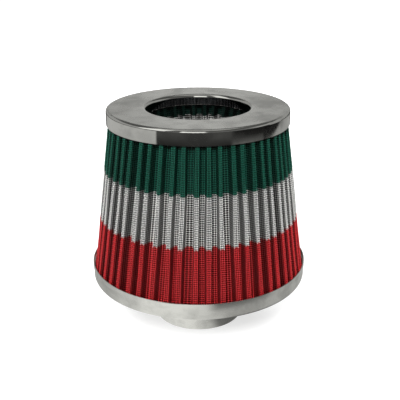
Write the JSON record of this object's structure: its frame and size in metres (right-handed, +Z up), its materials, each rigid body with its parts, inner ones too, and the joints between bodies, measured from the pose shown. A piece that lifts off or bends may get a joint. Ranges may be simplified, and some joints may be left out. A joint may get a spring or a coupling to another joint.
{
  "type": "performance air filter",
  "caption": "Open-topped conical engine air filter: banded pleated mesh cone under a polished top ring, inverted inner cone, pressed base pan and metal inlet neck.",
  "frame": {"origin": "centre of the neck's lower end, on the surface that the filter stands on", "axes": "+Z up the filter's axis, from the neck to the top ring"},
  "size_m": [0.155, 0.155, 0.1575],
  "materials": {
    "polished_ring": "polished pressed steel with faint circular polishing marks",
    "pan_metal": "satin pressed steel",
    "neck_metal": "satin steel tube",
    "cap_metal": "plain pressed steel",
    "outer_mesh": "coated woven wire mesh over gauze, printed in three level fields of green, white and red",
    "inner_mesh": "coated woven wire mesh over gauze, printed in three level fields of green, white and red",
    "potting_resin": "cast black polyurethane"
  },
  "bodies": {
    "root": {"top_ring": "polished_ring", "top_potting": "potting_resin", "outer_pleats": "outer_mesh", "inner_pleats": "inner_mesh", "cap_potting": "potting_resin", "inner_cap": "cap_metal", "base_pan": "pan_metal", "base_potting": "potting_resin", "neck_tube": "neck_metal"}
  },
  "joints": []
}
